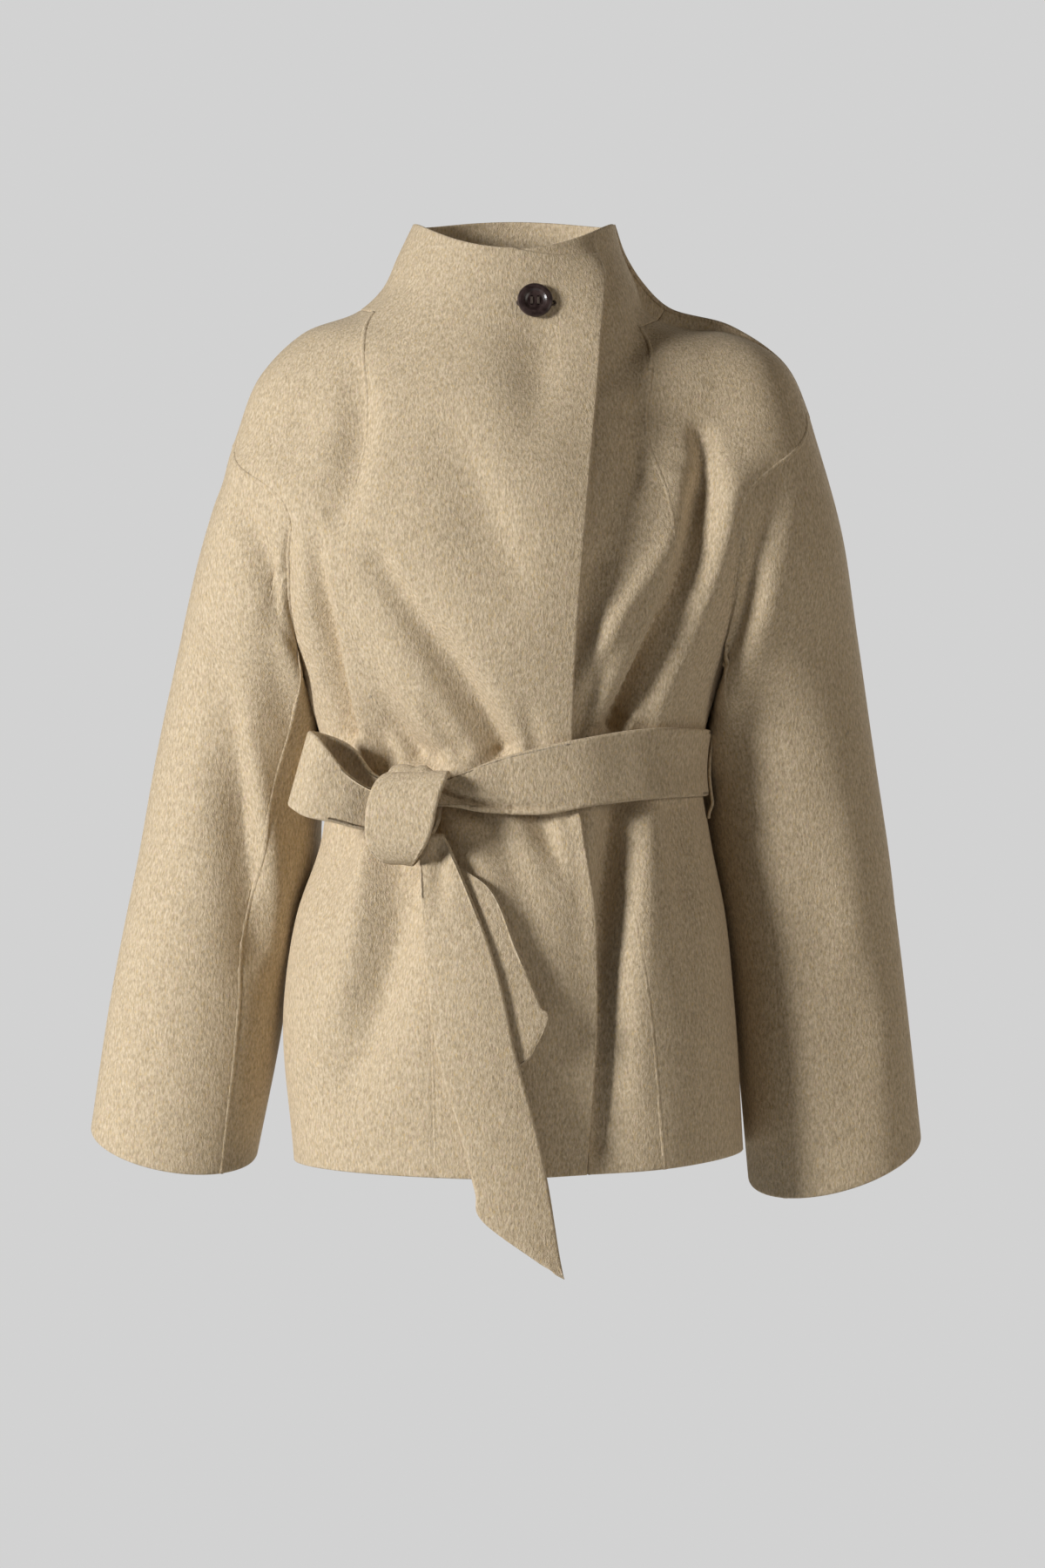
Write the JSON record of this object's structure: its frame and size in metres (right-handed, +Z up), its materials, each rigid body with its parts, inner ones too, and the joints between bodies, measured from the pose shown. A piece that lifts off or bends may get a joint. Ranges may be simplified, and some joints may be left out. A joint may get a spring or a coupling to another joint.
{
  "type": "belted coat",
  "caption": "Short wrap coat of thick brushed wool with a funnel collar, set-in sleeves and a tied half-bow belt, held in its worn shape with an empty inside",
  "frame": {"origin": "the middle of the neck base, level with the points where the collar meets the shoulders, where a wearer or a hanger carries the coat", "axes": "+Z up along the body, the wearer faces -Y, +X to the wearer's left"},
  "size_m": [0.654, 0.2699, 0.8177],
  "materials": {
    "wool": "double-faced brushed wool, oatmeal and camel heather with a short nap",
    "button": "dark brown horn-look resin, semi-gloss"
  },
  "bodies": {
    "root": {"front_right": "wool", "side_front_right": "wool", "back": "wool", "side_front_left": "wool", "front_left": "wool", "sleeve_right_top": "wool", "sleeve_right_under": "wool", "sleeve_left_top": "wool", "sleeve_left_under": "wool", "belt_band": "wool", "belt_carrier_right": "wool", "belt_carrier_left": "wool", "belt_knot": "wool", "belt_bow_loop": "wool", "belt_tail_long": "wool", "belt_tail_short": "wool", "button": "button"}
  },
  "joints": []
}
